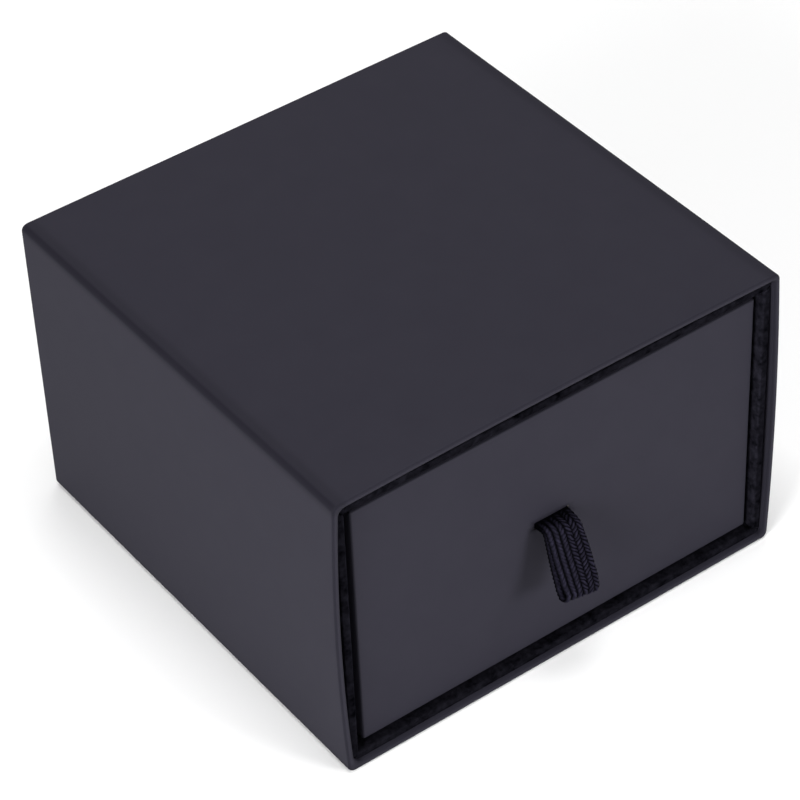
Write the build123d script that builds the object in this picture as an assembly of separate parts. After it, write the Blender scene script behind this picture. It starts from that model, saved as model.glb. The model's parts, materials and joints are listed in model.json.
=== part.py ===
from build123d import *
import os
from math import cos, radians, sin

# Sliding drawer gift box: a paper-covered board sleeve, closed at the back and lined with flocked board,
# and a paper-covered drawer with a folded ribbon pull. Millimetres. The origin is the centre of the
# underside of the sleeve, +X is right, -Y is the open front, and +Z is up.

# Sleeve
SLEEVE_WIDTH = 100.0
SLEEVE_DEPTH = 99.5
SLEEVE_HEIGHT = 65.4
SLEEVE_BOARD = 1.0
FOLD_RADIUS = 1.4
TOP_BOW = 0.55
LEFT_BOW = 0.95
RIGHT_BOW = 0.73
MOUTH_TURN_IN = 15.0
BACK_TURN_OVER = 10.0
SHEET_INSET = 1.5

# Thin stock: covering paper and the stay tape that holds board corners together
PAPER = 0.12
STAY_LEG = 8.0

# Flocked liner inside the sleeve
LINER_BOARD = 1.0
FLOCK = 0.6
LINER_RECESS = 0.9
LINER_SIDE_GAP = 0.16
LINER_TOP_GAP = 0.84
LINER_BACK_GAP = 0.3

# Drawer
DRAWER_BOARD = 1.5
DRAWER_RECESS = 2.4
DRAWER_SIDE_GAP = 1.42
DRAWER_TOP_GAP = 2.05
DRAWER_FLOOR_GAP = 0.5
DRAWER_BACK_GAP = 0.3
DRAWER_SHIFT = 0.6
DRAWER_FOLD_RADIUS = 0.5
RIM_TURN_IN = 12.0
FLOOR_TURN_UNDER = 10.0
LINING_BELOW_RIM = 3.0
FLOOR_CARD = 1.2
FLOOR_CARD_GAP = 0.3

# Ribbon pull, a flat tape folded in two
RIBBON_WIDTH = 7.6
RIBBON_THICKNESS = 0.6
PLY_GAP = 0.15
SLOT_CENTRE_X = -1.22
SLOT_TOP_Z = 33.94
SLOT_HEIGHT = 1.6
SLOT_END_GAP = 0.15
RIBBON_REACH = 3.3
RIBBON_DROP_LENGTH = 13.7
RIBBON_DROP_ANGLE = 64.7
SHOULDER_RADIUS = 1.9
TAIL_LENGTH = 12.0
TAIL_BEND_RADIUS = 0.45
PATCH_MARGIN = 5.0

# Planes that several pieces share
FRONT = -SLEEVE_DEPTH / 2
BACK = SLEEVE_DEPTH / 2
WRAP_BACK = BACK - PAPER
BOARD_BACK = WRAP_BACK - PAPER
INNER_BACK = BOARD_BACK - SLEEVE_BOARD
LINING_BACK = INNER_BACK - PAPER
WRAP_BOTTOM = PAPER
BOARD_INSET = PAPER + SLEEVE_BOARD
WALL_INSET = BOARD_INSET + PAPER
SLEEVE_FLOOR = WRAP_BOTTOM + WALL_INSET
SLEEVE_CEILING = SLEEVE_HEIGHT - WALL_INSET

LINER_FRONT = FRONT + LINER_RECESS
LINER_BACK = LINING_BACK - LINER_BACK_GAP
LINER_HALF = SLEEVE_WIDTH / 2 - WALL_INSET - LINER_SIDE_GAP
LINER_TOP = SLEEVE_CEILING - LINER_TOP_GAP
LINER_FLOOR_BOARD_TOP = SLEEVE_FLOOR + LINER_BOARD
LINER_ROOF_BOARD_UNDER = LINER_TOP - LINER_BOARD
LINER_WALL_HALF = LINER_HALF - LINER_BOARD
FLOCK_FLOOR = LINER_FLOOR_BOARD_TOP + FLOCK
FLOCK_CEILING = LINER_ROOF_BOARD_UNDER - FLOCK
FLOCK_HALF = LINER_WALL_HALF - FLOCK

DRAWER_HALF = FLOCK_HALF - DRAWER_SIDE_GAP
DRAWER_LEFT = DRAWER_SHIFT - DRAWER_HALF
DRAWER_RIGHT = DRAWER_SHIFT + DRAWER_HALF
DRAWER_FRONT = FRONT + DRAWER_RECESS
DRAWER_BACK = LINING_BACK - DRAWER_BACK_GAP
DRAWER_UNDER = FLOCK_FLOOR + DRAWER_FLOOR_GAP
DRAWER_TOP = FLOCK_CEILING - DRAWER_TOP_GAP
DRAWER_WRAP_UNDER = DRAWER_UNDER + PAPER
DRAWER_BOARD_UNDER = DRAWER_WRAP_UNDER + PAPER
DRAWER_FLOOR_TOP = DRAWER_BOARD_UNDER + DRAWER_BOARD
FRONT_BOARD_OUT = DRAWER_FRONT + PAPER
FRONT_BOARD_IN = FRONT_BOARD_OUT + DRAWER_BOARD
BACK_BOARD_OUT = DRAWER_BACK - PAPER
BACK_BOARD_IN = BACK_BOARD_OUT - DRAWER_BOARD
LEFT_BOARD_IN = DRAWER_LEFT + PAPER + DRAWER_BOARD
RIGHT_BOARD_IN = DRAWER_RIGHT - PAPER - DRAWER_BOARD

PLY_PITCH = RIBBON_THICKNESS + PLY_GAP
SLOT_BOTTOM_Z = SLOT_TOP_Z - SLOT_HEIGHT
SLOT_CENTRE_Z = SLOT_TOP_Z - SLOT_HEIGHT / 2
SLOT_HALF_WIDTH = RIBBON_WIDTH / 2 + SLOT_END_GAP
TAIL_Y = FRONT_BOARD_IN + RIBBON_THICKNESS / 2
PATCH_FRONT = FRONT_BOARD_IN + RIBBON_THICKNESS
PATCH_BACK = PATCH_FRONT + PAPER
FRONT_LINING_BACK = PATCH_BACK + PAPER

# How far a cutting tool runs past the face that it opens
PAST = 1.0


def block(x0, x1, y0, y1, z0, z1):
    """A box between two corners."""
    centre = ((x0 + x1) / 2, (y0 + y1) / 2, (z0 + z1) / 2)
    return Pos(*centre) * Box(x1 - x0, y1 - y0, z1 - z0)


def slab(y0, y1):
    """A slice of space across the whole sleeve, from depth y0 to y1."""
    return block(-SLEEVE_WIDTH, SLEEVE_WIDTH, y0, y1, -SLEEVE_HEIGHT, 2 * SLEEVE_HEIGHT)


# ---------------------------------------------------------------- sleeve forms

def bowed_side(start, end, bow_x, bow_z, y):
    """One side of the sleeve's section: an arc that swells outward, or a line where it has no bow."""
    if bow_x == 0 and bow_z == 0:
        return Line((start[0], y, start[1]), (end[0], y, end[1]))
    middle = ((start[0] + end[0]) / 2 + bow_x, y, (start[1] + end[1]) / 2 + bow_z)
    return ThreePointArc((start[0], y, start[1]), middle, (end[0], y, end[1]))


def fold_arc(centre_x, centre_z, radius, start_angle, y):
    """A quarter turn at a fold, clockwise seen from the front, from start_angle in degrees."""
    points = []
    for angle in (start_angle, start_angle - 45, start_angle - 90):
        turn = radians(angle)
        points.append((centre_x + radius * cos(turn), y, centre_z + radius * sin(turn)))
    return ThreePointArc(*points)


def sleeve_section(inset, radius, y):
    """Outline of the sleeve at depth y, inset from its outer face. The open front bows, the back is straight."""
    half = SLEEVE_WIDTH / 2 - inset
    low = WRAP_BOTTOM + inset
    high = SLEEVE_HEIGHT - inset
    share = (WRAP_BACK - y) / (WRAP_BACK - FRONT)
    edges = [
        bowed_side((-half, low + radius), (-half, high - radius), -LEFT_BOW * share, 0, y),
        bowed_side((-half + radius, high), (half - radius, high), 0, TOP_BOW * share, y),
        bowed_side((half, high - radius), (half, low + radius), RIGHT_BOW * share, 0, y),
        bowed_side((half - radius, low), (-half + radius, low), 0, 0, y),
    ]
    if radius > 0:
        edges.insert(1, fold_arc(-half + radius, high - radius, radius, 180, y))
        edges.insert(3, fold_arc(half - radius, high - radius, radius, 90, y))
        edges.insert(5, fold_arc(half - radius, low + radius, radius, 0, y))
        edges.append(fold_arc(-half + radius, low + radius, radius, -90, y))
    return Wire(edges)


def sleeve_form(inset, radius, y0, y1):
    """The solid space inside a section of the sleeve, from depth y0 to y1, its folds rounded by radius."""
    return Solid.make_loft([sleeve_section(inset, radius, y0), sleeve_section(inset, radius, y1)], ruled=True)


def board_space():
    """The space inside the wrap, with rounded folds."""
    return sleeve_form(PAPER, FOLD_RADIUS - PAPER, FRONT + PAPER, BOARD_BACK)


def inner_space():
    """The square-cornered space inside the sleeve's boards."""
    return sleeve_form(BOARD_INSET, 0, FRONT, WRAP_BACK)


def make_sleeve_wrap():
    """Outer paper: round four sides, turned in at the mouth and turned over at the back."""
    turned_in = inner_space() & slab(FRONT - PAST, FRONT + MOUTH_TURN_IN)
    wrap = sleeve_form(0, FOLD_RADIUS, FRONT, WRAP_BACK) - (board_space() - turned_in)
    mouth = sleeve_form(WALL_INSET, 0, FRONT - PAST, FRONT + MOUTH_TURN_IN + PAST)
    wrap -= mouth
    edge = PAPER + BACK_TURN_OVER
    wrap -= block(-SLEEVE_WIDTH / 2 + edge, SLEEVE_WIDTH / 2 - edge, BOARD_BACK - PAST, WRAP_BACK + PAST,
                  WRAP_BOTTOM + edge, SLEEVE_HEIGHT - edge)
    return wrap


def make_sleeve_boards():
    """The four long boards, cut from one tube along the planes of the floor and ceiling."""
    tube = board_space() - inner_space()
    low = WRAP_BOTTOM + BOARD_INSET
    high = SLEEVE_HEIGHT - BOARD_INSET
    wide = SLEEVE_WIDTH
    return {
        "sleeve_board_top": tube & block(-wide, wide, FRONT, BACK, high, high + wide),
        "sleeve_board_bottom": tube & block(-wide, wide, FRONT, BACK, low - wide, low),
        "sleeve_board_left": tube & block(-wide, 0, FRONT, BACK, low, high),
        "sleeve_board_right": tube & block(0, wide, FRONT, BACK, low, high),
    }


def make_sleeve_board_back():
    return inner_space() & slab(INNER_BACK, BOARD_BACK)


def back_rectangle(inset, y0, y1):
    """A sheet across the back, inset from the sleeve's outer face."""
    half = SLEEVE_WIDTH / 2 - inset
    return block(-half, half, y0, y1, WRAP_BOTTOM + inset, SLEEVE_HEIGHT - inset)


def make_sleeve_base_sheet():
    half_x = SLEEVE_WIDTH / 2 - SHEET_INSET
    return block(-half_x, half_x, FRONT + SHEET_INSET, BACK - SHEET_INSET, 0, PAPER)


def make_sleeve_corner_stays():
    """Four folded tapes, one in each long inside corner, from the turned-in paper to the back lining."""
    half = SLEEVE_WIDTH / 2 - BOARD_INSET
    low = WRAP_BOTTOM + BOARD_INSET
    high = SLEEVE_HEIGHT - BOARD_INSET
    y0 = FRONT + MOUTH_TURN_IN
    stays = []
    for side in (-1, 1):
        for level, up in ((low, 1), (high, -1)):
            flat = sorted((side * half, side * (half - STAY_LEG)))
            thin = sorted((side * half, side * (half - PAPER)))
            tall = sorted((level, level + up * STAY_LEG))
            shallow = sorted((level, level + up * PAPER))
            stays.append(block(*flat, y0, LINING_BACK, *shallow) + block(*thin, y0, LINING_BACK, *tall))
    return Compound(children=[stay.solid() for stay in stays])


# ---------------------------------------------------------------- flocked liner

def make_liner():
    """Four liner boards, each with flock paper on its inner face and folded over its front edge."""
    board_front = LINER_FRONT + FLOCK
    pieces = {
        "liner_board_floor": block(-LINER_HALF, LINER_HALF, board_front, LINER_BACK,
                                   SLEEVE_FLOOR, LINER_FLOOR_BOARD_TOP),
        "liner_board_roof": block(-LINER_HALF, LINER_HALF, board_front, LINER_BACK,
                                  LINER_ROOF_BOARD_UNDER, LINER_TOP),
        "liner_flock_floor": block(-LINER_WALL_HALF, LINER_WALL_HALF, LINER_FRONT, LINER_BACK,
                                   LINER_FLOOR_BOARD_TOP, FLOCK_FLOOR)
        + block(-LINER_HALF, LINER_HALF, LINER_FRONT, board_front, SLEEVE_FLOOR, LINER_FLOOR_BOARD_TOP),
        "liner_flock_roof": block(-LINER_WALL_HALF, LINER_WALL_HALF, LINER_FRONT, LINER_BACK,
                                  FLOCK_CEILING, LINER_ROOF_BOARD_UNDER)
        + block(-LINER_HALF, LINER_HALF, LINER_FRONT, board_front, LINER_ROOF_BOARD_UNDER, LINER_TOP),
    }
    for name, side in (("left", -1), ("right", 1)):
        board = sorted((side * LINER_WALL_HALF, side * LINER_HALF))
        flock = sorted((side * FLOCK_HALF, side * LINER_WALL_HALF))
        pieces["liner_board_" + name] = block(*board, board_front, LINER_BACK,
                                              LINER_FLOOR_BOARD_TOP, LINER_ROOF_BOARD_UNDER)
        pieces["liner_flock_" + name] = (
            block(*flock, LINER_FRONT, LINER_BACK, FLOCK_FLOOR, FLOCK_CEILING)
            + block(*board, LINER_FRONT, board_front, LINER_FLOOR_BOARD_TOP, LINER_ROOF_BOARD_UNDER))
    return pieces


# ---------------------------------------------------------------- drawer forms

def drawer_form(inset, z0, z1, radius):
    """The drawer's outer block, inset from its outer faces, with every edge rounded."""
    form = block(DRAWER_LEFT + inset, DRAWER_RIGHT - inset, DRAWER_FRONT + inset, DRAWER_BACK - inset, z0, z1)
    return fillet(form.edges(), radius)


def drawer_core():
    """The space inside the drawer's wrap, which the boards fill and share."""
    return drawer_form(PAPER, DRAWER_BOARD_UNDER, DRAWER_TOP - PAPER, DRAWER_FOLD_RADIUS - PAPER)


def drawer_well(inset, z0, z1):
    """The space between the drawer's walls, inset from their inner board faces."""
    return block(LEFT_BOARD_IN + inset, RIGHT_BOARD_IN - inset, FRONT_BOARD_IN + inset, BACK_BOARD_IN - inset,
                 z0, z1)


def ribbon_slot():
    """The slot that the two plies of the ribbon pass through."""
    return block(SLOT_CENTRE_X - SLOT_HALF_WIDTH, SLOT_CENTRE_X + SLOT_HALF_WIDTH,
                 DRAWER_FRONT - PAST, FRONT_BOARD_IN + PAPER / 2, SLOT_BOTTOM_Z, SLOT_TOP_Z)


def make_drawer_wrap():
    """Outer paper of the drawer: round four sides, turned over the rim and under the floor."""
    turn_in_end = DRAWER_TOP - RIM_TURN_IN
    turned_in = drawer_well(0, turn_in_end, DRAWER_TOP + PAST)
    wrap = drawer_form(0, DRAWER_WRAP_UNDER, DRAWER_TOP, DRAWER_FOLD_RADIUS) - (drawer_core() - turned_in)
    wrap -= drawer_well(PAPER, turn_in_end - PAST, DRAWER_TOP + PAST)
    edge = PAPER + FLOOR_TURN_UNDER
    wrap -= block(DRAWER_LEFT + edge, DRAWER_RIGHT - edge, DRAWER_FRONT + edge, DRAWER_BACK - edge,
                  DRAWER_WRAP_UNDER - PAST, DRAWER_BOARD_UNDER + PAST)
    return wrap - ribbon_slot()


def make_drawer_boards():
    """Front and back boards span the full width; the side boards and the floor fit between them."""
    core = drawer_core()
    low = DRAWER_BOARD_UNDER - PAST
    high = DRAWER_TOP + PAST
    left = DRAWER_LEFT - PAST
    right = DRAWER_RIGHT + PAST
    return {
        "drawer_board_front": (core & block(left, right, DRAWER_FRONT, FRONT_BOARD_IN, low, high)) - ribbon_slot(),
        "drawer_board_back": core & block(left, right, BACK_BOARD_IN, DRAWER_BACK, low, high),
        "drawer_board_left": core & block(left, LEFT_BOARD_IN, FRONT_BOARD_IN, BACK_BOARD_IN, low, high),
        "drawer_board_right": core & block(RIGHT_BOARD_IN, right, FRONT_BOARD_IN, BACK_BOARD_IN, low, high),
        "drawer_board_floor": drawer_well(0, DRAWER_BOARD_UNDER, DRAWER_FLOOR_TOP),
    }


def make_drawer_bottom_sheet():
    return block(DRAWER_LEFT + SHEET_INSET, DRAWER_RIGHT - SHEET_INSET, DRAWER_FRONT + SHEET_INSET,
                 DRAWER_BACK - SHEET_INSET, DRAWER_UNDER, DRAWER_WRAP_UNDER)


def make_drawer_corner_stays():
    """Four folded tapes, one in each upright inside corner, from the floor to the turned-in paper."""
    z1 = DRAWER_TOP - RIM_TURN_IN
    stays = []
    for x, inward_x in ((LEFT_BOARD_IN, 1), (RIGHT_BOARD_IN, -1)):
        for y, inward_y in ((FRONT_BOARD_IN, 1), (BACK_BOARD_IN, -1)):
            along_x = sorted((x, x + inward_x * STAY_LEG))
            thin_x = sorted((x, x + inward_x * PAPER))
            along_y = sorted((y, y + inward_y * STAY_LEG))
            thin_y = sorted((y, y + inward_y * PAPER))
            stays.append(block(*along_x, *thin_y, DRAWER_FLOOR_TOP, z1)
                         + block(*thin_x, *along_y, DRAWER_FLOOR_TOP, z1))
    return Compound(children=[stay.solid() for stay in stays])


def make_drawer_wall_lining():
    """Paper band inside the walls. It stands off the front board by the ribbon's tails and their patch."""
    z1 = DRAWER_TOP - LINING_BELOW_RIM
    x0 = LEFT_BOARD_IN + PAPER
    x1 = RIGHT_BOARD_IN - PAPER
    y1 = BACK_BOARD_IN - PAPER
    outside = block(x0, x1, PATCH_BACK, y1, DRAWER_FLOOR_TOP, z1)
    inside = block(x0 + PAPER, x1 - PAPER, FRONT_LINING_BACK, y1 - PAPER, DRAWER_FLOOR_TOP - PAST, z1 + PAST)
    return outside - inside


def make_drawer_floor_card():
    gap = 2 * PAPER + FLOOR_CARD_GAP
    return block(LEFT_BOARD_IN + gap, RIGHT_BOARD_IN - gap, FRONT_LINING_BACK + FLOOR_CARD_GAP, BACK_BOARD_IN - gap,
                 DRAWER_FLOOR_TOP, DRAWER_FLOOR_TOP + FLOOR_CARD)


# ---------------------------------------------------------------- ribbon pull

def ribbon_centre_line():
    """Centre line of the tape in the YZ plane: tail, slot, shoulder, drop, fold, and the same way back."""
    drop = radians(RIBBON_DROP_ANGLE)
    along_y = -cos(drop)
    along_z = -sin(drop)
    upper_z = SLOT_CENTRE_Z + PLY_PITCH / 2
    lower_z = SLOT_CENTRE_Z - PLY_PITCH / 2
    shoulder = (DRAWER_FRONT - RIBBON_REACH, upper_z)
    fold_front = (shoulder[0] + RIBBON_DROP_LENGTH * along_y, shoulder[1] + RIBBON_DROP_LENGTH * along_z)
    fold_back = (fold_front[0] - PLY_PITCH * along_z, fold_front[1] + PLY_PITCH * along_y)
    climb = (lower_z - fold_back[1]) / along_z
    under_shoulder = (fold_back[0] + climb * along_y, lower_z)
    fold_tip = ((fold_front[0] + fold_back[0]) / 2 + PLY_PITCH / 2 * along_y,
                (fold_front[1] + fold_back[1]) / 2 + PLY_PITCH / 2 * along_z)
    upper = FilletPolyline(flat(TAIL_Y, upper_z + TAIL_LENGTH), flat(TAIL_Y, upper_z), flat(*shoulder),
                           flat(*fold_front), radius=[TAIL_BEND_RADIUS, SHOULDER_RADIUS])
    fold = ThreePointArc(flat(*fold_front), flat(*fold_tip), flat(*fold_back))
    lower = FilletPolyline(flat(*fold_back), flat(*under_shoulder), flat(TAIL_Y, lower_z),
                           flat(TAIL_Y, lower_z - TAIL_LENGTH),
                           radius=[SHOULDER_RADIUS - PLY_PITCH, TAIL_BEND_RADIUS])
    return Wire(upper.edges() + [fold.edge()] + lower.edges())


def flat(y, z):
    """A point of the ribbon's section, drawn on the XY plane with Y as X and Z as Y."""
    return (y, z)


def make_pull_ribbon():
    """The tape: its thickness swept along the centre line, then its width drawn out along X."""
    profile = trace(ribbon_centre_line(), RIBBON_THICKNESS)
    section_plane = Plane(origin=(SLOT_CENTRE_X - RIBBON_WIDTH / 2, 0, 0), x_dir=(0, 1, 0), z_dir=(1, 0, 0))
    return extrude(section_plane * profile, RIBBON_WIDTH)


def make_ribbon_anchor_patch():
    half_x = RIBBON_WIDTH / 2 + PATCH_MARGIN
    half_z = PLY_PITCH / 2 + TAIL_LENGTH + PATCH_MARGIN / 2
    return block(SLOT_CENTRE_X - half_x, SLOT_CENTRE_X + half_x, PATCH_FRONT, PATCH_BACK,
                 SLOT_CENTRE_Z - half_z, SLOT_CENTRE_Z + half_z)


# ---------------------------------------------------------------- all pieces

def make_pieces():
    pieces = {
        "sleeve_wrap": make_sleeve_wrap(),
        "sleeve_board_back": make_sleeve_board_back(),
        "sleeve_base_sheet": make_sleeve_base_sheet(),
        "sleeve_back_sheet": back_rectangle(SHEET_INSET, WRAP_BACK, BACK),
        "sleeve_back_lining": back_rectangle(SHEET_INSET, LINING_BACK, INNER_BACK),
        "sleeve_corner_stays": make_sleeve_corner_stays(),
        "drawer_wrap": make_drawer_wrap(),
        "drawer_bottom_sheet": make_drawer_bottom_sheet(),
        "drawer_corner_stays": make_drawer_corner_stays(),
        "drawer_wall_lining": make_drawer_wall_lining(),
        "drawer_floor_card": make_drawer_floor_card(),
        "pull_ribbon": make_pull_ribbon(),
        "ribbon_anchor_patch": make_ribbon_anchor_patch(),
    }
    pieces.update(make_sleeve_boards())
    pieces.update(make_liner())
    pieces.update(make_drawer_boards())
    return pieces


os.makedirs("parts", exist_ok=True)
for node, shape in make_pieces().items():
    export_step(shape, f"parts/{node}.step")
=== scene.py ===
import json
import math

import bmesh
import bpy
from mathutils import Matrix, Vector, noise


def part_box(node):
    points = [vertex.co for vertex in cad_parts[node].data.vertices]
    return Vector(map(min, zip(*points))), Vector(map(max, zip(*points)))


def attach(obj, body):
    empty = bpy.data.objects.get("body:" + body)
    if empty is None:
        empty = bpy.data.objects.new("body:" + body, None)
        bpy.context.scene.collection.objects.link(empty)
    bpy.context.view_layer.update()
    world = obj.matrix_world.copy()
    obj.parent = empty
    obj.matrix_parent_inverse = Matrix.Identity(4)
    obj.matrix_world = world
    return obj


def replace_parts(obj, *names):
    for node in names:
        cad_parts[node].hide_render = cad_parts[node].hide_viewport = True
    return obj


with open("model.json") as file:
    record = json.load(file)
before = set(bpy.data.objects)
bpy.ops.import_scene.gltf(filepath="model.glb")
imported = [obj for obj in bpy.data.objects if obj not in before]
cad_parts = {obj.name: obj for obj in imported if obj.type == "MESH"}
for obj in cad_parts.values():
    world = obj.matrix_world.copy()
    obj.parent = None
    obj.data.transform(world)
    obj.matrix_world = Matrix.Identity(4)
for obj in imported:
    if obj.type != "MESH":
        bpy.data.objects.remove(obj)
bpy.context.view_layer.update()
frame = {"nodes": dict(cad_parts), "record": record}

# Shapes are worked out in millimetres and written to meshes in metres
MM = 0.001

# The camera that took the photograph, found from the box's own edges: place in metres, angles in degrees
CAMERA_PLACE = (-0.273039, -0.390764, 0.443166)
CAMERA_YAW = -34.9075
CAMERA_PITCH = 41.0153
CAMERA_ROLL = -2.6409
CAMERA_LENS_MM = 149.06
CAMERA_SENSOR_MM = 36.0

# Covering paper of the sleeve. Insets run from the outer faces of the box toward its middle
PAPER = 0.12
BOARD_INSET = 1.12
SHEET_INSET = 1.5
FOLD_RADIUS = 1.4
TOP_BOW = 0.55
LEFT_BOW = 0.95
RIGHT_BOW = 0.73
MOUTH_TURN_IN = 15.0
BACK_TURN_OVER = 10.0
PAPER_EDGE_RADIUS = 0.3
LIP_RADIUS = 0.55
LIP_BULGE = 0.12
# Radii of the mouth's inner corners: upper left, upper right, lower right, lower left
MOUTH_CORNERS = (1.7, 0.9, 1.5, 2.4)
SHARPEST_CORNER = 0.05
# How far the painted shade beside a fold fades out over the top, and how many times faster it does down a
# wall
FOLD_SHADE_REACH = 2.2
WALL_SHADE_RATE = 3

# Slow waves of paper over board: they die down toward the mouth and the table, and lengthwise they are less
WAVE_HEIGHT = 0.035
WAVE_LENGTH = 26.0
WAVE_FROM_MOUTH = 12
WAVE_FROM_TABLE = 10
LENGTHWISE_WAVE = 0.3
SLEEVE_WAVES = 3.0
DRAWER_WAVES = 11.0
# Where in the noise the waves along X, Y and Z are taken, so that they don't move together
WAVE_SHIFTS = ((0.0, 0.0, 0.0), (5.2, 1.3, 8.1), (1.7, 9.2, 4.6))

# Spacing of the covers' points
EDGE_MARGIN = 1.0
RIM_MARGIN = 1.5
FOLD_SHARE = 0.006
SIDE_SHARE = 0.02
DEPTH_STEPS = 40
LIP_STEPS = 8
CORNER_STEPS = 7

# Covering paper of the drawer
DRAWER_CORNER = 0.5
RIM_TURN_IN = 12.0
FLOOR_TURN_UNDER = 10.0
DRAWER_BOARD = 1.5
SLOT_HALF_WIDTH = 3.95
SLOT_HEIGHT = 1.6
SLOT_TOP_Z = 33.94
SLOT_CENTRE_X = -1.22

# Flock paper on the liner, and its nap: blobs to the millimetre and weights of its coarse and fine parts
FLOCK = 0.6
NOSE_RADIUS = 0.5
NOSE_BACK_RADIUS = 0.35
NOSE_BACK_PILE = 0.6
BACK_OF_BOARD = 0.08
BACK_TURN_START = 1.0
BACK_TURN_END = 8.0
PILE_RELIEF = 0.1
PILE_STEP = 0.3
FINE_PILE_DEPTH = 9.0
COARSE_PILE, COARSE_PILE_WEIGHT = 0.9, 0.6
FINE_PILE, FINE_PILE_WEIGHT = 2.6, 0.8

# Flocked card on the drawer's floor
CARD_EDGE_PILE = 0.26
CARD_EDGE_DROP = 0.4
CARD_COLUMNS = 140
CARD_ROWS = 146

# Ribbon pull
RIBBON_WIDTH = 7.6
RIBBON_THICKNESS = 0.6
RIBBON_THINNEST = 0.02
RIBBON_SQUARENESS = 16
PLY_PITCH = 0.75
RIBBON_REACH = 3.3
RIBBON_DROP_LENGTH = 13.7
RIBBON_DROP_ANGLE = 64.7
SHOULDER_RADIUS = 1.9
TAIL_LENGTH = 12.0
TAIL_BEND_RADIUS = 0.45
FOLD_OPENING = 0.5
# The back ply hangs to the left of the front one, and the tape changes over within this length at the fold
BACK_PLY_SHIFT = -0.75
BACK_PLY_CHANGE = 1.4
# How the right edge lies from the left one, forward and up, by share of the way from the slot to the fold
EDGE_TWIST = [(0.0, 0.0, 0.0), (0.2, 0.9, -0.8), (0.55, 1.3, -0.3), (0.8, 1.2, -0.6), (1.0, 0.2, -1.3)]
RIBBON_ACROSS = 72
RIBBON_SEEN_DEPTH = 0.8
SEEN_STEP = 0.105
HIDDEN_STEP = 0.5
DIRECTION_REACH = 0.15

# Weave of the ribbon
WEAVE_RELIEF = 0.4
WEAVE_MIDDLE = 0.55
WEAVE_BACK_SHARE = 0.3
WEAVE_EDGE_SHARE = 0.04
WEAVE_COLUMN = 1.27
WEAVE_STITCH = 0.84
YARN_SLANT = 1.25
YARN_STRAY = 0.4
YARN_STAGGER = 0.37
YARN_SQUARENESS = 0.8
COLUMN_VALLEY = 0.15
COLUMN_SQUARENESS = 0.6
# How far the yarns are worn flat at the tape's middle, how fast that falls to the right, and the most
WORN_AT_MIDDLE = 0.35
WORN_WIDTH = 3.0
WORN_MOST = 0.9
WORN_FLATNESS = 0.65
WORN_SQUARENESS = 0.8
# Where the slot pinches the tape, the weave is lower, and painted shade darkens the tape near the slot
PINCH_AND_SHADE_LENGTH = 3.2
PINCHED_AND_SHADED_SHARE = 0.3
FUZZ_HEIGHT = 0.04
SELVEDGE_LOOP = 0.07

# Linear colours of the covering paper, and the painted shade that darkens it on a fold and beside a fold
WHITE = (1, 1, 1, 1)
PAPER_DARK = (0.0188, 0.0178, 0.0254, 1)
PAPER_LIGHT = (0.0201, 0.0191, 0.0269, 1)
PAPER_GLOSS_TINT = (0.95, 0.93, 1.0, 1)
FOLD_SHADE = (0.66, 0.66, 0.68, 1)
BESIDE_FOLD_SHADE = (0.78, 0.78, 0.79, 1)
# Darkest painted shade of the nap on level faces and noses, and darkest shade of the ribbon's uneven yarn
PAINTED_NAP_SHADE = (0.46, 0.46, 0.46, 1)
UNEVEN_YARN = (0.3, 0.3, 0.3, 1)

FLOOR_SIZE = 6.0
FLOOR_COLOUR = (0.93, 0.93, 0.93, 1)
LAMP_AIM = (0, 0, 0.03)
# Place in metres, side in metres and power in watts
LAMPS = {
    "top": ((0.0, 0.0, 1.5), 0.8, 16.2),
    "back_right": ((0.6, 0.9, 1.0), 0.8, 2.6),
    "left": ((-1.3, -0.3, 0.34), 0.6, 4.9),
    "front_left": ((-0.52, -0.24, 0.26), 0.25, 3.4),
    "front_right": ((0.68, -1.28, 0.38), 0.5, 18.4),
    "key": ((1.0, -0.75, 0.85), 0.7, 3.4),
}


# ---------------------------------------------------------------- mesh helpers

def node_box(name):
    """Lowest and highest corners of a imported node, in millimetres."""
    low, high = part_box(name)
    return low / MM, high / MM


def new_piece(name, points, faces, material, body):
    """A smooth-shaded mesh piece from points in millimetres, which rides on a body."""
    mesh = bpy.data.meshes.new(name)
    mesh.from_pydata([Vector(point) * MM for point in points], [], faces)
    cleaner = bmesh.new()
    cleaner.from_mesh(mesh)
    bmesh.ops.recalc_face_normals(cleaner, faces=cleaner.faces)
    cleaner.to_mesh(mesh)
    cleaner.free()
    mesh.polygons.foreach_set("use_smooth", [True] * len(mesh.polygons))
    mesh.materials.append(material)
    piece = bpy.data.objects.new(name, mesh)
    bpy.context.scene.collection.objects.link(piece)
    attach(piece, body)
    return piece


def shell_faces(ring_count, point_count, skipped=()):
    """Quads that join closed rings of points into a closed shell, the last ring to the first. skipped holds
    the (ring, point) of quads to leave out."""
    faces = []
    for ring in range(ring_count):
        here = ring * point_count
        there = (ring + 1) % ring_count * point_count
        for point in range(point_count):
            if (ring, point) in skipped:
                continue
            after = (point + 1) % point_count
            faces.append((here + point, here + after, there + after, there + point))
    return faces


def tube_faces(ring_count, point_count):
    """Quads that join closed rings of points into a tube, with a face over each end."""
    faces = []
    for ring in range(ring_count - 1):
        here, there = ring * point_count, (ring + 1) * point_count
        for point in range(point_count):
            after = (point + 1) % point_count
            faces.append((here + point, here + after, there + after, there + point))
    last = (ring_count - 1) * point_count
    faces.append(tuple(range(point_count)))
    faces.append(tuple(last + point for point in reversed(range(point_count))))
    return faces


def spaced(start, end, count):
    """count + 1 even steps from start to end."""
    return [start + (end - start) * step / count for step in range(count + 1)]


def arc(centre, radius, start, end, count):
    """Points on an arc, its angles in degrees."""
    return [(centre[0] + radius * math.cos(math.radians(angle)),
             centre[1] + radius * math.sin(math.radians(angle))) for angle in spaced(start, end, count)]


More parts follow.
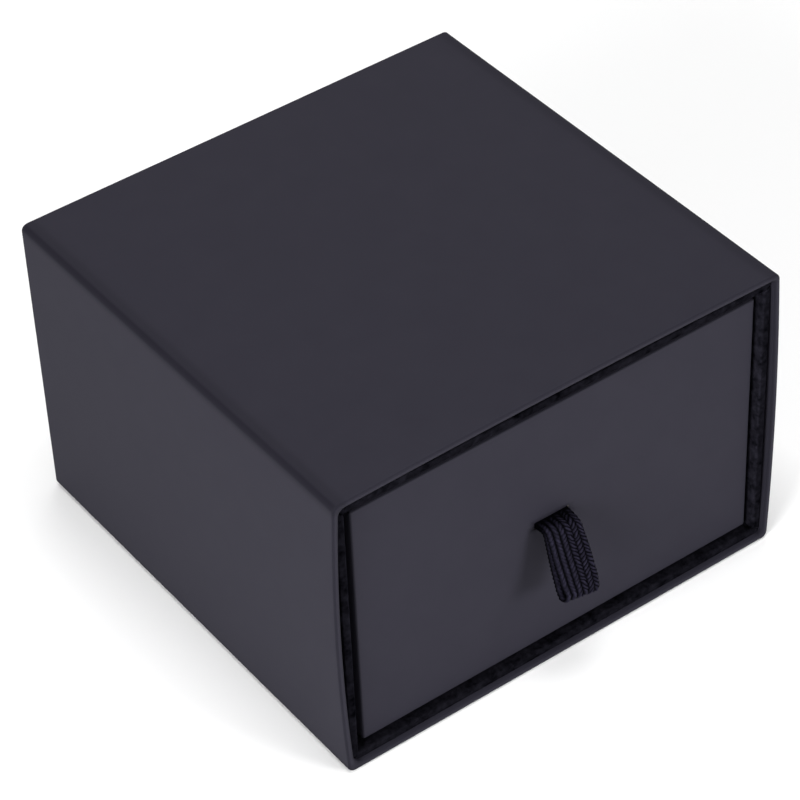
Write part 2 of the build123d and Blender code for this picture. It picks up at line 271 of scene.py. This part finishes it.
def side_steps(count):
    """Fractions along a side, from 0 to just under 1, with a close pair at each end to hold the fold."""
    return [0.0, FOLD_SHARE] + spaced(SIDE_SHARE, 1 - SIDE_SHARE, count) + [1 - FOLD_SHARE]


def rounded_outline(left, right, under, over, radii, bows, fractions):
    """Points clockwise from the lower left. The corners' radii go from the upper left to the lower left, and
    the sides' outward bows and the fractions of the points on them from the left to the lower side."""
    upper_left, upper_right, lower_right, lower_left = radii
    sides = [
        ((left, under + lower_left), (left, over - upper_left), (-1, 0)),
        ((left + upper_left, over), (right - upper_right, over), (0, 1)),
        ((right, over - upper_right), (right, under + lower_right), (1, 0)),
        ((right - lower_right, under), (left + lower_left, under), (0, -1)),
    ]
    corners = [
        ((left + upper_left, over - upper_left), upper_left, 180, 90),
        ((right - upper_right, over - upper_right), upper_right, 90, 0),
        ((right - lower_right, under + lower_right), lower_right, 0, -90),
        ((left + lower_left, under + lower_left), lower_left, -90, -180),
    ]
    points = []
    for (start, end, outward), bow, steps, corner in zip(sides, bows, fractions, corners):
        for share in steps:
            swell = 4 * share * (1 - share) * bow
            points.append((start[0] + (end[0] - start[0]) * share + outward[0] * swell,
                           start[1] + (end[1] - start[1]) * share + outward[1] * swell))
        points += arc(*corner, CORNER_STEPS)[:-1]
    return points


def ripple(x, y, z, height, start):
    """A small smooth offset that makes paper over board a little uneven. start picks the waves."""
    place = Vector((x / WAVE_LENGTH + start, y / WAVE_LENGTH, z / WAVE_LENGTH))
    return Vector([noise.noise(place + Vector(shift)) for shift in WAVE_SHIFTS]) * height


# ---------------------------------------------------------------- paper covers

def sleeve_stations():
    """(inset, depth) round the paper's own section: back turn-over, outside, mouth and turn-in, then its
    hidden face back again. Returned with the depths of the mouth and the back."""
    low, high = node_box("sleeve_wrap")
    front, back = low.y, high.y
    radius = PAPER_EDGE_RADIUS
    wall = BOARD_INSET + PAPER
    turned_in = front + MOUTH_TURN_IN
    turned_over = BACK_TURN_OVER + PAPER
    roll = front + LIP_RADIUS - LIP_BULGE
    stations = [(inset, back) for inset in spaced(turned_over, radius, 6)]
    stations += arc((radius, back - radius), radius, 90, 180, 5)[1:]
    stations += [(0, depth) for depth in spaced(back - EDGE_MARGIN, front + EDGE_MARGIN, DEPTH_STEPS)]
    stations += arc((LIP_RADIUS, roll), LIP_RADIUS, 180, 270, LIP_STEPS)
    stations += arc((wall - LIP_RADIUS, roll), LIP_RADIUS, 270, 360, LIP_STEPS)
    stations += [(wall, depth) for depth in spaced(front + EDGE_MARGIN, turned_in, LIP_STEPS)]
    stations += [(BOARD_INSET, depth) for depth in spaced(turned_in, front + PAPER, LIP_STEPS)]
    stations += [(PAPER, depth) for depth in spaced(front + PAPER, back - PAPER, DEPTH_STEPS)]
    stations += [(inset, back - PAPER) for inset in spaced(PAPER + EDGE_MARGIN, turned_over, 5)]
    return stations, front, back


def build_sleeve_cover(material):
    """The sleeve's paper: soft folds, bowed walls, a rolled edge round the mouth, turned in and turned over.
    Its points keep how much painted shade the paper gets beside a fold."""
    sheet_low, sheet_high = node_box("sleeve_back_sheet")
    left, right = sheet_low.x - SHEET_INSET, sheet_high.x + SHEET_INSET
    under, over = sheet_low.z - SHEET_INSET, sheet_high.z + SHEET_INSET
    stations, front, back = sleeve_stations()
    fractions = [side_steps(24), side_steps(40), side_steps(24), side_steps(40)]
    points, wear_and_fold_shade = [], []
    for inset, depth in stations:
        share = (back - depth) / (back - front)
        mouth = min(inset / BOARD_INSET, 1.0) if depth < 0 else 0.0
        fold = max(FOLD_RADIUS - inset, SHARPEST_CORNER)
        radii = [fold + (inner - fold) * mouth for inner in MOUTH_CORNERS]
        bows = (LEFT_BOW * share, TOP_BOW * share, RIGHT_BOW * share, 0)
        outline = rounded_outline(left + inset, right - inset, under + inset, over - inset,
                                  radii, bows, fractions)
        height = WAVE_HEIGHT * min(1.0, (depth - front) / WAVE_FROM_MOUTH)
        for x, z in outline:
            lift = ripple(x, depth, z, height, SLEEVE_WAVES)
            points.append((x + lift.x, depth + lift.y * LENGTHWISE_WAVE,
                           z + lift.z * min(1.0, z / WAVE_FROM_TABLE)))
            # Painted shade beside the folds: a share that is 1 at a fold and fades out over the faces, faster
            # down the walls
            over_face = min(x - left, right - x) - FOLD_RADIUS
            down_wall = min(z - under, over - z) - FOLD_RADIUS
            from_fold = max(over_face, WALL_SHADE_RATE * down_wall)
            wear_and_fold_shade.append(min(max(1 - from_fold / FOLD_SHADE_REACH, 0.0), 1.0))
    faces = shell_faces(len(stations), len(outline))
    piece = new_piece("sleeve_cover", points, faces, material, "sleeve")
    piece.data.attributes.new("wear_and_fold_shade", "FLOAT", "POINT").data.foreach_set("value", wear_and_fold_shade)
    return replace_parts(piece, "sleeve_wrap")


def drawer_stations():
    """(inset, height) round the drawer paper's own section: under the floor, up the outside, over the rim
    and down the inside, then its hidden face back again. Returned with the stations that the slot starts
    from on the outer and on the hidden face."""
    low, high = node_box("drawer_wrap")
    under, over = low.z, high.z
    radius = PAPER_EDGE_RADIUS
    wall = DRAWER_BOARD + 2 * PAPER
    turned_under = FLOOR_TURN_UNDER + PAPER
    slot_low, slot_high = SLOT_TOP_Z - SLOT_HEIGHT, SLOT_TOP_Z
    outside = spaced(under + RIM_MARGIN, slot_low - EDGE_MARGIN, 12) + [slot_low, slot_high]
    outside += spaced(slot_high + EDGE_MARGIN, over - RIM_MARGIN, 12)
    stations = [(inset, under) for inset in spaced(turned_under, DRAWER_CORNER, 6)]
    stations += arc((DRAWER_CORNER, under + DRAWER_CORNER), DRAWER_CORNER, 270, 180, 6)[1:]
    outer_slot = len(stations) + outside.index(slot_low)
    stations += [(0, height) for height in outside]
    stations += arc((radius, over - radius), radius, 180, 90, 6)
    stations += arc((wall - radius, over - radius), radius, 90, 0, 6)
    stations += [(wall, height) for height in spaced(over - EDGE_MARGIN, over - RIM_TURN_IN, 7)]
    stations += [(wall - PAPER, height) for height in spaced(over - RIM_TURN_IN, over - PAPER, 7)]
    stations += [(PAPER, over - PAPER)]
    outside.reverse()
    inner_slot = len(stations) + outside.index(slot_high)
    stations += [(PAPER, height) for height in outside]
    stations += [(inset, under + PAPER) for inset in spaced(PAPER + radius, turned_under, 6)]
    return stations, outer_slot, inner_slot


def build_drawer_cover(material):
    """The drawer's paper: round the four sides, over the rim and under the floor, with the ribbon's slot."""
    low, high = node_box("drawer_wrap")
    stations, outer_slot, inner_slot = drawer_stations()
    start = high.x - DRAWER_CORNER
    length = start - (low.x + DRAWER_CORNER)
    slot_right = (start - SLOT_CENTRE_X - SLOT_HALF_WIDTH) / length
    slot_left = (start - SLOT_CENTRE_X + SLOT_HALF_WIDTH) / length
    front = [0.0, FOLD_SHARE] + spaced(SIDE_SHARE, slot_right - SIDE_SHARE, 16) + [slot_right, slot_left]
    front += spaced(slot_left + SIDE_SHARE, 1 - SIDE_SHARE, 16) + [1 - FOLD_SHARE]
    fractions = [side_steps(30), side_steps(30), side_steps(30), front]
    points = []
    for inset, height in stations:
        radius = max(DRAWER_CORNER - inset, SHARPEST_CORNER)
        outline = rounded_outline(low.x + inset, high.x - inset, low.y + inset, high.y - inset,
                                  (radius,) * 4, (0, 0, 0, 0), fractions)
        for x, y in outline:
            lift = ripple(x, y, height, WAVE_HEIGHT, DRAWER_WAVES)
            points.append((x + lift.x, y + lift.y, height + lift.z * LENGTHWISE_WAVE))
    count = len(outline)
    # The front is the outline's last side, with the points of one corner after it
    column = count - CORNER_STEPS - len(front) + front.index(slot_right)
    faces = shell_faces(len(stations), count, {(outer_slot, column), (inner_slot, column)})
    outer, inner = outer_slot * count + column, inner_slot * count + column
    outer_ring = [outer, outer + 1, outer + count + 1, outer + count]
    inner_ring = [inner + count, inner + count + 1, inner + 1, inner]
    for step in range(4):
        after = (step + 1) % 4
        faces.append((outer_ring[step], outer_ring[after], inner_ring[after], inner_ring[step]))
    piece = new_piece("drawer_cover", points, faces, material, "drawer")
    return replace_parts(piece, "drawer_wrap")


# ---------------------------------------------------------------- flock

def pile(x, y, z):
    """How far the nap stands up or lies down at a place."""
    coarse = noise.noise(Vector((x, y, z)) * COARSE_PILE)
    fine = noise.noise(Vector((x, y, z)) * FINE_PILE + Vector((7, 3, 5)))
    return PILE_RELIEF * (COARSE_PILE_WEIGHT * coarse + FINE_PILE_WEIGHT * fine)


def flock_section(board, depth):
    """(depth from the mouth, height over the board's outer face, share of pile) round one liner's flock:
    along its face from the back, round its nose, over the board's front edge and on to its outer face."""
    top = board + FLOCK
    face = spaced(depth, FINE_PILE_DEPTH, 40)
    face += spaced(FINE_PILE_DEPTH - PILE_STEP, NOSE_RADIUS + 0.05, 24)
    section = [(far, top, 1.0) for far in face]
    section += [(far, high, 1.0)
                for far, high in arc((NOSE_RADIUS, top - NOSE_RADIUS), NOSE_RADIUS, 90, 180, 5)]
    nose_back = (NOSE_BACK_RADIUS, NOSE_BACK_RADIUS - BACK_OF_BOARD)
    section += [(far, high, NOSE_BACK_PILE) for far, high in arc(nose_back, NOSE_BACK_RADIUS, 180, 270, 4)]
    section += [(far, -BACK_OF_BOARD, 0.0) for far in spaced(BACK_TURN_START, BACK_TURN_END, 4)]
    section += [(far, 0.0, 0.0) for far in spaced(BACK_TURN_END, FLOCK, 4)]
    section += [(FLOCK, board, 0.0)]
    section += [(far, board, 0.0) for far in spaced(FINE_PILE_DEPTH, depth, 5)]
    return section


def build_liner_flock(side, material):
    """The flock paper on one liner board: side is floor, roof, left or right."""
    flock_low, flock_high = node_box("liner_flock_" + side)
    board_low, board_high = node_box("liner_board_" + side)
    upright = side in ("left", "right")
    across = 2 if upright else 0
    through = 0 if upright else 2
    inward = 1 if side in ("floor", "left") else -1
    outer = board_low[through] if inward > 0 else board_high[through]
    board = board_high[through] - board_low[through]
    if upright:
        nose_ends = (board_low.z, board_high.z)
        face_ends = (node_box("liner_flock_floor")[1].z, node_box("liner_flock_roof")[0].z)
    else:
        nose_ends = (flock_low.x, flock_high.x)
        face_ends = (node_box("liner_board_left")[1].x, node_box("liner_board_right")[0].x)
    section = flock_section(board, flock_high.y - flock_low.y)
    rows = max(2, round((nose_ends[1] - nose_ends[0]) / PILE_STEP))
    points = []
    for row in range(rows + 1):
        for far, high, share in section:
            start, end = face_ends if high > board else nose_ends
            place = [0.0, flock_low.y + far, 0.0]
            place[across] = start + (end - start) * row / rows
            stand = pile(*place[:2], place[2] + high) * share
            nose = share and far < NOSE_RADIUS
            place[1] -= stand if nose else 0.0
            place[through] = outer + inward * (high + (0.0 if nose else stand))
            points.append(tuple(place))
    faces = tube_faces(rows + 1, len(section))
    piece = new_piece("flock_" + side, points, faces, material, "sleeve")
    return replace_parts(piece, "liner_flock_" + side)


def build_floor_card(material):
    """The flocked card on the drawer's floor, with a sloping edge and a nap that reaches the lining."""
    low, high = node_box("drawer_floor_card")
    low -= Vector((CARD_EDGE_PILE, CARD_EDGE_PILE, 0))
    high += Vector((CARD_EDGE_PILE, CARD_EDGE_PILE, 0))
    columns, rows, wide = CARD_COLUMNS, CARD_ROWS, CARD_COLUMNS + 1
    points, faces = [], []
    for row in range(rows + 1):
        for column in range(columns + 1):
            x = low.x + (high.x - low.x) * column / columns
            y = low.y + (high.y - low.y) * row / rows
            inner = 0 < row < rows and 0 < column < columns
            points.append((x, y, high.z + (pile(x, y, 0.0) - PILE_RELIEF if inner else -CARD_EDGE_DROP)))
    for row in range(rows):
        for column in range(columns):
            first = row * wide + column
            faces.append((first, first + 1, first + wide + 1, first + wide))
    rim = [column for column in range(wide)]
    rim += [row * wide + columns for row in range(1, rows + 1)]
    rim += [rows * wide + column for column in reversed(range(columns))]
    rim += [row * wide for row in reversed(range(1, rows))]
    base = len(points)
    points += [(points[index][0], points[index][1], low.z) for index in rim]
    for step in range(len(rim)):
        after = (step + 1) % len(rim)
        faces.append((rim[after], rim[step], base + step, base + after))
    faces.append(tuple(base + step for step in range(len(rim))))
    piece = new_piece("flocked_floor_card", points, faces, material, "drawer")
    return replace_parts(piece, "drawer_floor_card")


# ---------------------------------------------------------------- ribbon

def filleted(points, radii, steps=10):
    """A polyline with its inner corners rounded by arcs of these radii."""
    line = [Vector(points[0])]
    for before, corner, after, radius in zip(points, points[1:], points[2:], radii):
        corner = Vector(corner)
        back = (Vector(before) - corner).normalized()
        ahead = (Vector(after) - corner).normalized()
        half = back.angle(ahead) / 2
        reach = radius / math.tan(half)
        centre = corner + (back + ahead).normalized() * radius / math.sin(half)
        start = corner + back * reach - centre
        end = corner + ahead * reach - centre
        sweep = start.angle_signed(end)
        for step in range(steps + 1):
            turn = -sweep * step / steps
            line.append(centre + Vector((start.x * math.cos(turn) - start.y * math.sin(turn),
                                         start.x * math.sin(turn) + start.y * math.cos(turn))))
    line.append(Vector(points[-1]))
    return line


def ribbon_line():
    """The tape's centre line in the YZ plane: tail, slot, shoulder, drop, fold, and the same way back."""
    front = node_box("drawer_wrap")[0].y
    tail_y = node_box("ribbon_anchor_patch")[0].y - RIBBON_THICKNESS / 2
    drop = math.radians(RIBBON_DROP_ANGLE)
    along = Vector((-math.cos(drop), -math.sin(drop)))
    behind = Vector((-along.y, along.x))
    centre_z = SLOT_TOP_Z - SLOT_HEIGHT / 2
    upper_z, lower_z = centre_z + PLY_PITCH / 2, centre_z - PLY_PITCH / 2
    shoulder = Vector((front - RIBBON_REACH, upper_z))
    fold_front = shoulder + along * RIBBON_DROP_LENGTH
    opening = PLY_PITCH + FOLD_OPENING
    fold_front -= along * (opening - PLY_PITCH) / 2
    fold_back = fold_front + behind * opening
    under_shoulder = shoulder + behind * PLY_PITCH + along * (
        (lower_z - shoulder.y - behind.y * PLY_PITCH) / along.y)
    upper = filleted([(tail_y, upper_z + TAIL_LENGTH), (tail_y, upper_z), shoulder, fold_front],
                     [TAIL_BEND_RADIUS, SHOULDER_RADIUS])
    middle = (fold_front + fold_back) / 2
    fold = [middle + (behind * -math.cos(turn) + along * math.sin(turn)) * opening / 2
            for turn in spaced(0, math.pi, 14)[1:-1]]
    lower = filleted([fold_back, under_shoulder, (tail_y, lower_z), (tail_y, lower_z - TAIL_LENGTH)],
                     [SHOULDER_RADIUS - PLY_PITCH, TAIL_BEND_RADIUS])
    return upper + fold + lower


def resampled(line, seen_front):
    """(distance, place, direction) along a line, in close steps where its y lies before seen_front."""
    lengths = [0.0]
    for before, after in zip(line, line[1:]):
        lengths.append(lengths[-1] + (after - before).length)

    def at(distance):
        segment = 0
        while segment < len(line) - 2 and lengths[segment + 1] < distance:
            segment += 1
        span = lengths[segment + 1] - lengths[segment]
        part = (distance - lengths[segment]) / span if span else 0.0
        return line[segment].lerp(line[segment + 1], part)

    total, distance, samples = lengths[-1], 0.0, []
    while distance < total:
        place = at(distance)
        ahead = at(min(distance + DIRECTION_REACH, total))
        behind = at(max(distance - DIRECTION_REACH, 0.0))
        samples.append((distance, place, (ahead - behind).normalized()))
        distance += SEEN_STEP if place.x < seen_front else HIDDEN_STEP
    samples.append((total, line[-1], (line[-1] - line[-2]).normalized()))
    return samples


def weave(along, across):
    """Height of the herringbone, 0 to 1: slanting yarns whose slant turns over from one column to the next.
    Toward the left edge the yarns wear flat and only the columns stand out."""
    wear_and_fold_shade = min(max(WORN_AT_MIDDLE - across / WORN_WIDTH, 0.0), WORN_MOST)
    column = math.floor(across / WEAVE_COLUMN)
    place = across / WEAVE_COLUMN - column - 0.5
    slant = YARN_SLANT if column % 2 else -YARN_SLANT
    stray = noise.noise(Vector((along * 0.9, across * 0.7, 4))) * YARN_STRAY
    turn = along / WEAVE_STITCH + slant * place + stray + YARN_STAGGER * (column % 3)
    yarn = abs(math.cos(math.pi * turn)) ** YARN_SQUARENESS
    yarn = yarn * (1 - WORN_FLATNESS * wear_and_fold_shade) + WORN_FLATNESS * wear_and_fold_shade
    # A little under half a turn to each side keeps the cosine above zero
    crown = math.cos(math.pi * place * 0.98) ** (COLUMN_SQUARENESS + WORN_SQUARENESS * wear_and_fold_shade)
    return yarn * (COLUMN_VALLEY + (1 - COLUMN_VALLEY) * crown)


def edge_twist(share):
    """Forward and upward offset of the right edge from the left, at a share of the way to the fold."""
    for (low, y_low, z_low), (high, y_high, z_high) in zip(EDGE_TWIST, EDGE_TWIST[1:]):
        if share <= high:
            part = (share - low) / (high - low)
            part = part * part * (3 - 2 * part)
            return y_low + (y_high - y_low) * part, z_low + (z_high - z_low) * part
    return EDGE_TWIST[-1][1:]


def build_ribbon(material):
    """The folded tape, its weave raised on the faces that show, its edges hanging a little askew. Its points
    keep the height of the weave, which also gives the tape its painted shade and painted highlight."""
    front = node_box("drawer_wrap")[0].y
    seen_front = front + RIBBON_SEEN_DEPTH
    samples = resampled(ribbon_line(), seen_front)
    shown = [distance for distance, place, _ in samples if place.x < front]
    bottom = (shown[0] + shown[-1]) / 2
    points, yarns = [], []
    for distance, place, direction in samples:
        outward = Vector((direction.y, -direction.x))
        share = min(max(1 - abs(distance - bottom) / (bottom - shown[0]), 0.0), 1.0)
        forward, upward = edge_twist(share)
        back = min(max((distance - bottom) / BACK_PLY_CHANGE + 0.5, 0.0), 1.0) * share
        seen = place.x < seen_front
        # Near the slot the weave is lowered and, through the kept height, painted darker: painted shade
        pinched_and_shaded = min(PINCHED_AND_SHADED_SHARE + (1 - PINCHED_AND_SHADED_SHARE) * abs(front - place.x) / PINCH_AND_SHADE_LENGTH, 1.0)
        for face in (1, -1):
            steps = range(RIBBON_ACROSS + 1)
            for step in (steps if face > 0 else reversed(steps)):
                across = 2 * step / RIBBON_ACROSS - 1
                height = RIBBON_THICKNESS / 2 * max(1 - abs(across) ** RIBBON_SQUARENESS, 0.0) ** 0.5
                raised = weave(distance, across * RIBBON_WIDTH / 2) * pinched_and_shaded if seen else 0.5
                # The weave's height is kept for the painted shade in its hollows and the painted highlight on
                # its crowns
                yarns.append(raised)
                selvedge = 0.0
                if seen:
                    relief = WEAVE_RELIEF * (raised - WEAVE_MIDDLE) * (1.0 if face > 0 else WEAVE_BACK_SHARE)
                    height += relief * min(1.0, (1 - abs(across)) / WEAVE_EDGE_SHARE)
                    height += noise.noise(Vector((distance * 2.5, across * 9, face))) * FUZZ_HEIGHT
                    selvedge = SELVEDGE_LOOP * math.cos(2 * math.pi * distance / WEAVE_STITCH) * across ** 9
                point = place + outward * face * max(height, RIBBON_THINNEST)
                x = SLOT_CENTRE_X + across * RIBBON_WIDTH / 2 + selvedge + BACK_PLY_SHIFT * back
                points.append((x, point.x - forward * across / 2, point.y + upward * across / 2))
    faces = tube_faces(len(samples), 2 * (RIBBON_ACROSS + 1))
    piece = new_piece("ribbon_tape", points, faces, material, "drawer")
    piece.data.attributes.new("yarn", "FLOAT", "POINT").data.foreach_set("value", yarns)
    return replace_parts(piece, "pull_ribbon")


# ---------------------------------------------------------------- materials

def srgb(red, green, blue):
    """A colour written as 0 to 255 screen values, as linear RGBA."""
    linear = []
    for value in (red, green, blue):
        share = value / 255
        linear.append(share / 12.92 if share <= 0.04045 else ((share + 0.055) / 1.055) ** 2.4)
    return (*linear, 1.0)


class Material:
    """A node material that is built up step by step around one Principled shader."""

    def __init__(self, name, roughness, specular):
        self.material = bpy.data.materials.new(name)
        self.material.use_nodes = True
        self.tree = self.material.node_tree
        self.tree.nodes.clear()
        output = self.node("ShaderNodeOutputMaterial")
        self.shader = self.node("ShaderNodeBsdfPrincipled")
        self.join(self.shader.outputs["BSDF"], output.inputs["Surface"])
        self.shader.inputs["Roughness"].default_value = roughness
        self.shader.inputs["Specular IOR Level"].default_value = specular

    def node(self, kind, **values):
        made = self.tree.nodes.new(kind)
        for name, value in values.items():
            made.inputs[name].default_value = value
        return made

    def join(self, source, target):
        self.tree.links.new(source, target)

    def grain(self, scale, detail=4.0, roughness=0.55):
        """Noise with about one blob every 1/scale metres."""
        coordinates = self.node("ShaderNodeTexCoord")
        mapping = self.node("ShaderNodeMapping", Scale=(scale,) * 3)
        texture = self.node("ShaderNodeTexNoise", Scale=1.0, Detail=detail, Roughness=roughness)
        self.join(coordinates.outputs["Object"], mapping.inputs["Vector"])
        self.join(mapping.outputs["Vector"], texture.inputs["Vector"])
        return texture.outputs["Fac"]

    def attribute(self, name):
        """A number that the mesh keeps at its points."""
        source = self.node("ShaderNodeAttribute")
        source.attribute_name = name
        return source.outputs["Fac"]

    def facing(self, axes):
        """1 where the surface faces along one of these axes, and less where it faces between them."""
        coordinates = self.node("ShaderNodeTexCoord")
        split = self.node("ShaderNodeSeparateXYZ")
        self.join(coordinates.outputs["Normal"], split.inputs["Vector"])
        most = None
        for axis in axes:
            size = self.node("ShaderNodeMath")
            size.operation = "ABSOLUTE"
            self.join(split.outputs[axis], size.inputs[0])
            most = self.larger(most, size.outputs["Value"]) if most else size.outputs["Value"]
        return most

    def larger(self, first, second):
        larger = self.node("ShaderNodeMath")
        larger.operation = "MAXIMUM"
        self.join(first, larger.inputs[0])
        self.join(second, larger.inputs[1])
        return larger.outputs["Value"]

    def multiplied(self, first, second):
        mix = self.node("ShaderNodeMix")
        mix.data_type = "RGBA"
        mix.blend_type = "MULTIPLY"
        mix.inputs["Factor"].default_value = 1.0
        self.join(first, mix.inputs[6])
        self.join(second, mix.inputs[7])
        return mix.outputs[2]

    def ramp(self, factor, start, end, low=0.3, high=0.7):
        """A colour that goes from start to end as factor goes from low to high."""
        ramp = self.node("ShaderNodeValToRGB")
        ramp.color_ramp.elements[0].position = low
        ramp.color_ramp.elements[0].color = start
        ramp.color_ramp.elements[1].position = high
        ramp.color_ramp.elements[1].color = end
        self.join(factor, ramp.inputs["Fac"])
        return ramp.outputs["Color"]

    def colour(self, source):
        self.join(source, self.shader.inputs["Base Color"])

    def bump(self, factor, height_mm):
        bump = self.node("ShaderNodeBump", Strength=1.0, Distance=height_mm * MM)
        self.join(factor, bump.inputs["Height"])
        self.join(bump.outputs["Normal"], self.shader.inputs["Normal"])


def covering_paper(name):
    """Matte soft-touch charcoal paper, faintly mottled, with a fine tooth, and painted shade on a fold and
    beside it.
    """
    paper = Material(name, roughness=0.62, specular=0.05)
    paper.shader.inputs["Specular Tint"].default_value = PAPER_GLOSS_TINT
    mottle = paper.ramp(paper.grain(160.0), PAPER_DARK, PAPER_LIGHT)
    # Painted shade: darker wherever the surface faces between the axes, that is on every fold
    fold = paper.ramp(paper.facing("XYZ"), FOLD_SHADE, WHITE, 0.9, 0.9975)
    # Painted shade beside the sleeve's folds, from the share its points keep
    beside = paper.ramp(paper.attribute("wear_and_fold_shade"), WHITE, BESIDE_FOLD_SHADE, 0.0, 0.65)
    paper.colour(paper.multiplied(paper.multiplied(mottle, beside), fold))
    paper.bump(paper.grain(5200.0, 2.0), 0.004)
    return paper.material


def lining_paper():
    """Black uncoated paper."""
    paper = Material("lining_paper", roughness=0.7, specular=0.3)
    paper.colour(paper.ramp(paper.grain(400.0), srgb(20, 20, 22), srgb(25, 25, 27)))
    paper.bump(paper.grain(4000.0, 2.0), 0.006)
    return paper.material


def flock_material(name):
    """Black nap, patchy where it lies different ways, with painted shade on level faces and noses, so side
    walls are lighter.
    """
    flock = Material(name, roughness=1.0, specular=0.0)
    patches = flock.ramp(flock.grain(500.0, 6.0, 0.75), srgb(5, 5, 8), srgb(38, 37, 45), 0.34, 0.7)
    # Painted shade: the nap is darker wherever it does not face sideways, on level faces and on noses
    nap = flock.ramp(flock.facing("X"), PAINTED_NAP_SHADE, WHITE, 0.2, 0.85)
    flock.colour(flock.multiplied(patches, nap))
    flock.bump(flock.grain(6000.0, 4.0, 0.7), 0.06)
    return flock.material


def greyboard():
    """Grey recycled board, coarse to the eye."""
    board = Material("greyboard", roughness=0.9, specular=0.2)
    board.colour(board.ramp(board.grain(900.0, 5.0, 0.7), srgb(112, 106, 98), srgb(142, 136, 127)))
    board.bump(board.grain(2500.0), 0.02)
    return board.material


def stay_tape():
    """Brown gummed tape."""
    tape = Material("stay_tape", roughness=0.6, specular=0.4)
    tape.colour(tape.ramp(tape.grain(700.0), srgb(150, 118, 80), srgb(168, 134, 94)))
    tape.bump(tape.grain(3000.0, 3.0), 0.01)
    return tape.material


def ribbon_material():
    """Black twill yarn, with painted shade where it lies deep in the weave and near the slot, a painted
    highlight on its crowns, and uneven shades along it.
    """
    tape = Material("ribbon_tape", roughness=0.7, specular=0.02)
    # Painted shade in the weave's hollows and near the slot, and a painted highlight on its crowns, from the
    # kept yarn height
    shade = tape.ramp(tape.attribute("yarn"), srgb(0, 0, 2), srgb(38, 36, 50), 0.25, 0.95)
    uneven = tape.ramp(tape.grain(1300.0, 5.0, 0.7), UNEVEN_YARN, WHITE)
    tape.colour(tape.multiplied(shade, uneven))
    tape.bump(tape.grain(9000.0, 3.0, 0.6), 0.02)
    return tape.material


# ---------------------------------------------------------------- stage

def build_camera():
    """The photograph's camera, which is turned, tipped and then rolled from looking along Y."""
    yaw, pitch, roll = (math.radians(angle) for angle in (CAMERA_YAW, CAMERA_PITCH, CAMERA_ROLL))
    back = Vector((math.sin(yaw) * math.cos(pitch), -math.cos(yaw) * math.cos(pitch), math.sin(pitch)))
    level = Vector((math.cos(yaw), math.sin(yaw), 0))
    upright = back.cross(level)
    right = level * math.cos(roll) + upright * math.sin(roll)
    up = upright * math.cos(roll) - level * math.sin(roll)
    data = bpy.data.cameras.new("camera")
    data.lens = CAMERA_LENS_MM
    data.sensor_width = CAMERA_SENSOR_MM
    camera = bpy.data.objects.new("camera", data)
    bpy.context.scene.collection.objects.link(camera)
    camera.matrix_world = Matrix.Translation(CAMERA_PLACE) @ Matrix((right, up, back)).transposed().to_4x4()
    bpy.context.scene.camera = camera


def build_world():
    """A background that lights nothing and is plain white where it is seen, straight on, in a reflection or
    through something clear."""
    world = bpy.data.worlds.new("world")
    bpy.context.scene.world = world
    world.use_nodes = True
    tree = world.node_tree
    tree.nodes.clear()
    output = tree.nodes.new("ShaderNodeOutputWorld")
    background = tree.nodes.new("ShaderNodeBackground")
    background.inputs["Color"].default_value = WHITE
    path = tree.nodes.new("ShaderNodeLightPath")
    strength = path.outputs["Is Camera Ray"]
    for ray in ("Is Glossy Ray", "Is Transmission Ray"):
        seen = tree.nodes.new("ShaderNodeMath")
        seen.operation = "MAXIMUM"
        tree.links.new(strength, seen.inputs[0])
        tree.links.new(path.outputs[ray], seen.inputs[1])
        strength = seen.outputs["Value"]
    tree.links.new(strength, background.inputs["Strength"])
    tree.links.new(background.outputs["Background"], output.inputs["Surface"])


def build_floor():
    """A plain pale floor under the box."""
    bpy.ops.mesh.primitive_plane_add(size=FLOOR_SIZE, location=(0, 0, 0))
    floor = bpy.context.object
    floor.name = "floor"
    paper = Material("floor", roughness=0.9, specular=0.0)
    paper.shader.inputs["Base Color"].default_value = FLOOR_COLOUR
    floor.data.materials.append(paper.material)


def build_lamp(name, place, size, watts):
    """A square soft lamp that is aimed at the box."""
    data = bpy.data.lights.new(name, "AREA")
    data.shape = "SQUARE"
    data.size = size
    data.energy = watts
    lamp = bpy.data.objects.new(name, data)
    lamp.location = place
    lamp.rotation_euler = (Vector(LAMP_AIM) - Vector(place)).to_track_quat("-Z", "Y").to_euler()
    bpy.context.scene.collection.objects.link(lamp)


# ---------------------------------------------------------------- build

FINISH = {
    "sleeve_paper": covering_paper("sleeve_paper"),
    "drawer_paper": covering_paper("drawer_paper"),
    "lining_paper": lining_paper(),
    "greyboard": greyboard(),
    "flock": flock_material("flock"),
    "flocked_card": flock_material("flocked_card"),
    "stay_tape": stay_tape(),
    "ribbon_tape": ribbon_material(),
}
for part in frame["record"]["subparts"]:
    mesh = frame["nodes"][part["node"]].data
    mesh.materials.clear()
    mesh.materials.append(FINISH[part["material_slot"]])

build_camera()
build_sleeve_cover(FINISH["sleeve_paper"])
build_drawer_cover(FINISH["drawer_paper"])
for liner_side in ("floor", "roof", "left", "right"):
    build_liner_flock(liner_side, FINISH["flock"])
build_floor_card(FINISH["flocked_card"])
build_ribbon(FINISH["ribbon_tape"])
build_floor()
build_world()
for lamp_name, (lamp_place, lamp_size, lamp_watts) in LAMPS.items():
    build_lamp(lamp_name, lamp_place, lamp_size, lamp_watts)
bpy.context.scene.view_settings.view_transform = "Standard"
